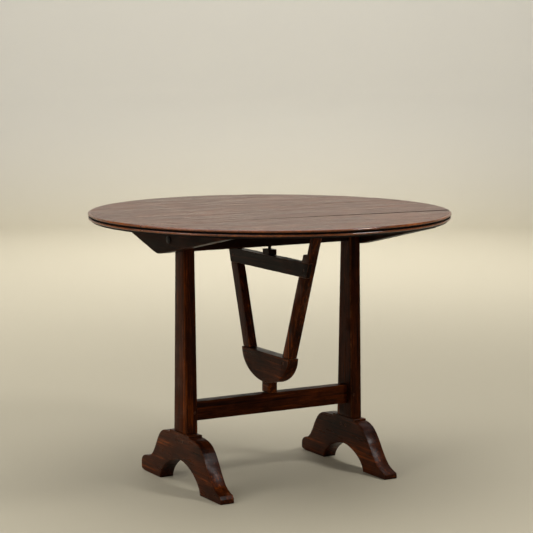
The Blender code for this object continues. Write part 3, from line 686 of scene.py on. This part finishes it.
# ------------------------------------------------------------------ studio
ROOM_RADIUS = 7.2           # wider than any view, so that no wall stands before the table
ROOM_BEND = 0.8             # radius of the curve from floor to wall; its top has the wall's colour
BEND_STEPS = 16
WALL_HEIGHT = 4.2
ROOM_SIDES = 128
PAINT_ROUGHNESS = 0.7
PAINT_SHINE = 0.2
AIR_COLOUR = "#dfe1df"
AIR_STRENGTH = 0.10
# name, place, target, size, watts
LAMPS = (("ceiling", (-0.5, 0.7, 4.0), (-0.5, 0.7, 0.0), (6.0, 4.4), 205.0),
         ("left_window", (-3.8, -0.3, 1.7), (0, 0, 0.4), (1.6, 2.0), 55.0),
         ("back_wash", (2.3, 4.0, 4.1), (3.5, 6.1, 1.2), (7.0, 1.0), 95.0),
         ("front_panel", (1.25, -1.65, 2.3), (-0.2, -0.18, 0.08), (0.5, 0.5), 34.0))
BEAMS = 6
BEAM_RADIUS = 5.0
BEAM_HEIGHT = 4.6
BEAM_SIZE = (4.0, 4.0)
BEAM_POWER = 70.0
BEAM_SPREAD = 60
SENSOR_WIDTH = 36.0         # in millimetres, as is the lens


def make_floor(studio):
    """Round floor that curves up into a plain wall on every side."""
    made, tree, shader = new_material("painted_studio_floor")
    height = add(tree, "SeparateXYZ", Vector=add(tree, "TexCoord").outputs["Object"]).outputs["Z"]
    tone = ramp(tree, ((0.0, studio.floor), (ROOM_BEND, studio.wall)), height)
    tree.links.new(tone.outputs[0], shader.inputs["Base Color"])
    shader.inputs["Roughness"].default_value = PAINT_ROUGHNESS
    shader.inputs["Specular IOR Level"].default_value = PAINT_SHINE

    profile = [(ROOM_RADIUS - ROOM_BEND, 0.0)]
    for step in range(1, BEND_STEPS + 1):
        turn = math.pi / 2 * step / BEND_STEPS
        profile.append((ROOM_RADIUS - ROOM_BEND + ROOM_BEND * math.sin(turn),
                        ROOM_BEND - ROOM_BEND * math.cos(turn)))
    profile.append((ROOM_RADIUS, WALL_HEIGHT))
    room, rings = lathe(profile, [0] * len(profile), ROOM_SIDES)
    room.faces.new(rings[0])
    mesh = bpy.data.meshes.new("studio_room")
    room.to_mesh(mesh)
    room.free()
    mesh.shade_smooth()
    mesh.materials.append(made)
    stage = bpy.data.objects.new("studio_room", mesh)
    bpy.context.scene.collection.objects.link(stage)


def area_light(name, place, target, size, power, spread=180):
    """Rectangular lamp; spread in degrees keeps it off what stands beside its beam."""
    data = bpy.data.lights.new(name, "AREA")
    data.spread = math.radians(spread)
    data.shape = "RECTANGLE"
    data.size, data.size_y = size
    data.energy = power
    lamp = bpy.data.objects.new(name, data)
    bpy.context.scene.collection.objects.link(lamp)
    lamp.location = place
    aim = Vector(target) - Vector(place)
    lamp.rotation_euler = aim.to_track_quat("-Z", "Y").to_euler()


def make_lights():
    """Faint even air, four soft lamps, and a ring of narrow beams on the far floor."""
    world = bpy.data.worlds.new("studio_air")
    world.use_nodes = True
    air = world.node_tree.nodes["Background"]
    air.inputs["Color"].default_value = linear(AIR_COLOUR)
    air.inputs["Strength"].default_value = AIR_STRENGTH
    bpy.context.scene.world = world
    for lamp in LAMPS:
        area_light(*lamp)
    # the beams keep the far floor pale from every side and stay off the table
    for number in range(BEAMS):
        turn = 2 * math.pi * number / BEAMS
        x, y = BEAM_RADIUS * math.cos(turn), BEAM_RADIUS * math.sin(turn)
        area_light("far_floor_%d" % number, (x, y, BEAM_HEIGHT), (x, y, 0.0), BEAM_SIZE,
                   BEAM_POWER, BEAM_SPREAD)
    bpy.context.scene.view_settings.view_transform = "Standard"


def make_camera(studio):
    """Camera that looks at the table from its front left."""
    data = bpy.data.cameras.new("view")
    data.sensor_width = SENSOR_WIDTH
    data.lens = studio.lens
    camera = bpy.data.objects.new("view", data)
    bpy.context.scene.collection.objects.link(camera)
    turn = studio.bearing
    x = studio.aside * math.cos(turn) - studio.distance * math.sin(turn)
    y = -studio.aside * math.sin(turn) - studio.distance * math.cos(turn)
    camera.location = (x, y, studio.height)
    camera.rotation_euler = (math.pi / 2 - studio.pitch, 0.0, -turn)
    bpy.context.scene.camera = camera


# ------------------------------------------------------------------ register and run
OPERATORS = ("table.boards", "table.trestle", "table.gate", "table.fastenings", "table.studio")
CLASSES = (TableFinish, StudioSettings, TABLE_OT_boards, TABLE_OT_trestle, TABLE_OT_gate,
           TABLE_OT_fastenings, TABLE_OT_studio, TABLE_PT_panel)


def register():
    for cls in CLASSES:
        bpy.utils.register_class(cls)
    bpy.types.Scene.table_finish = bpy.props.PointerProperty(type=TableFinish)
    bpy.types.Scene.table_studio = bpy.props.PointerProperty(type=StudioSettings)


def unregister():
    del bpy.types.Scene.table_studio
    del bpy.types.Scene.table_finish
    for cls in reversed(CLASSES):
        bpy.utils.unregister_class(cls)


def main():
    """Run every step in order."""
    register()
    for name in OPERATORS:
        group, action = name.split(".")
        result = getattr(getattr(bpy.ops, group), action)()
        if result != {"FINISHED"}:
            raise RuntimeError(name + " did not finish")


if __name__ == "__main__":
    main()
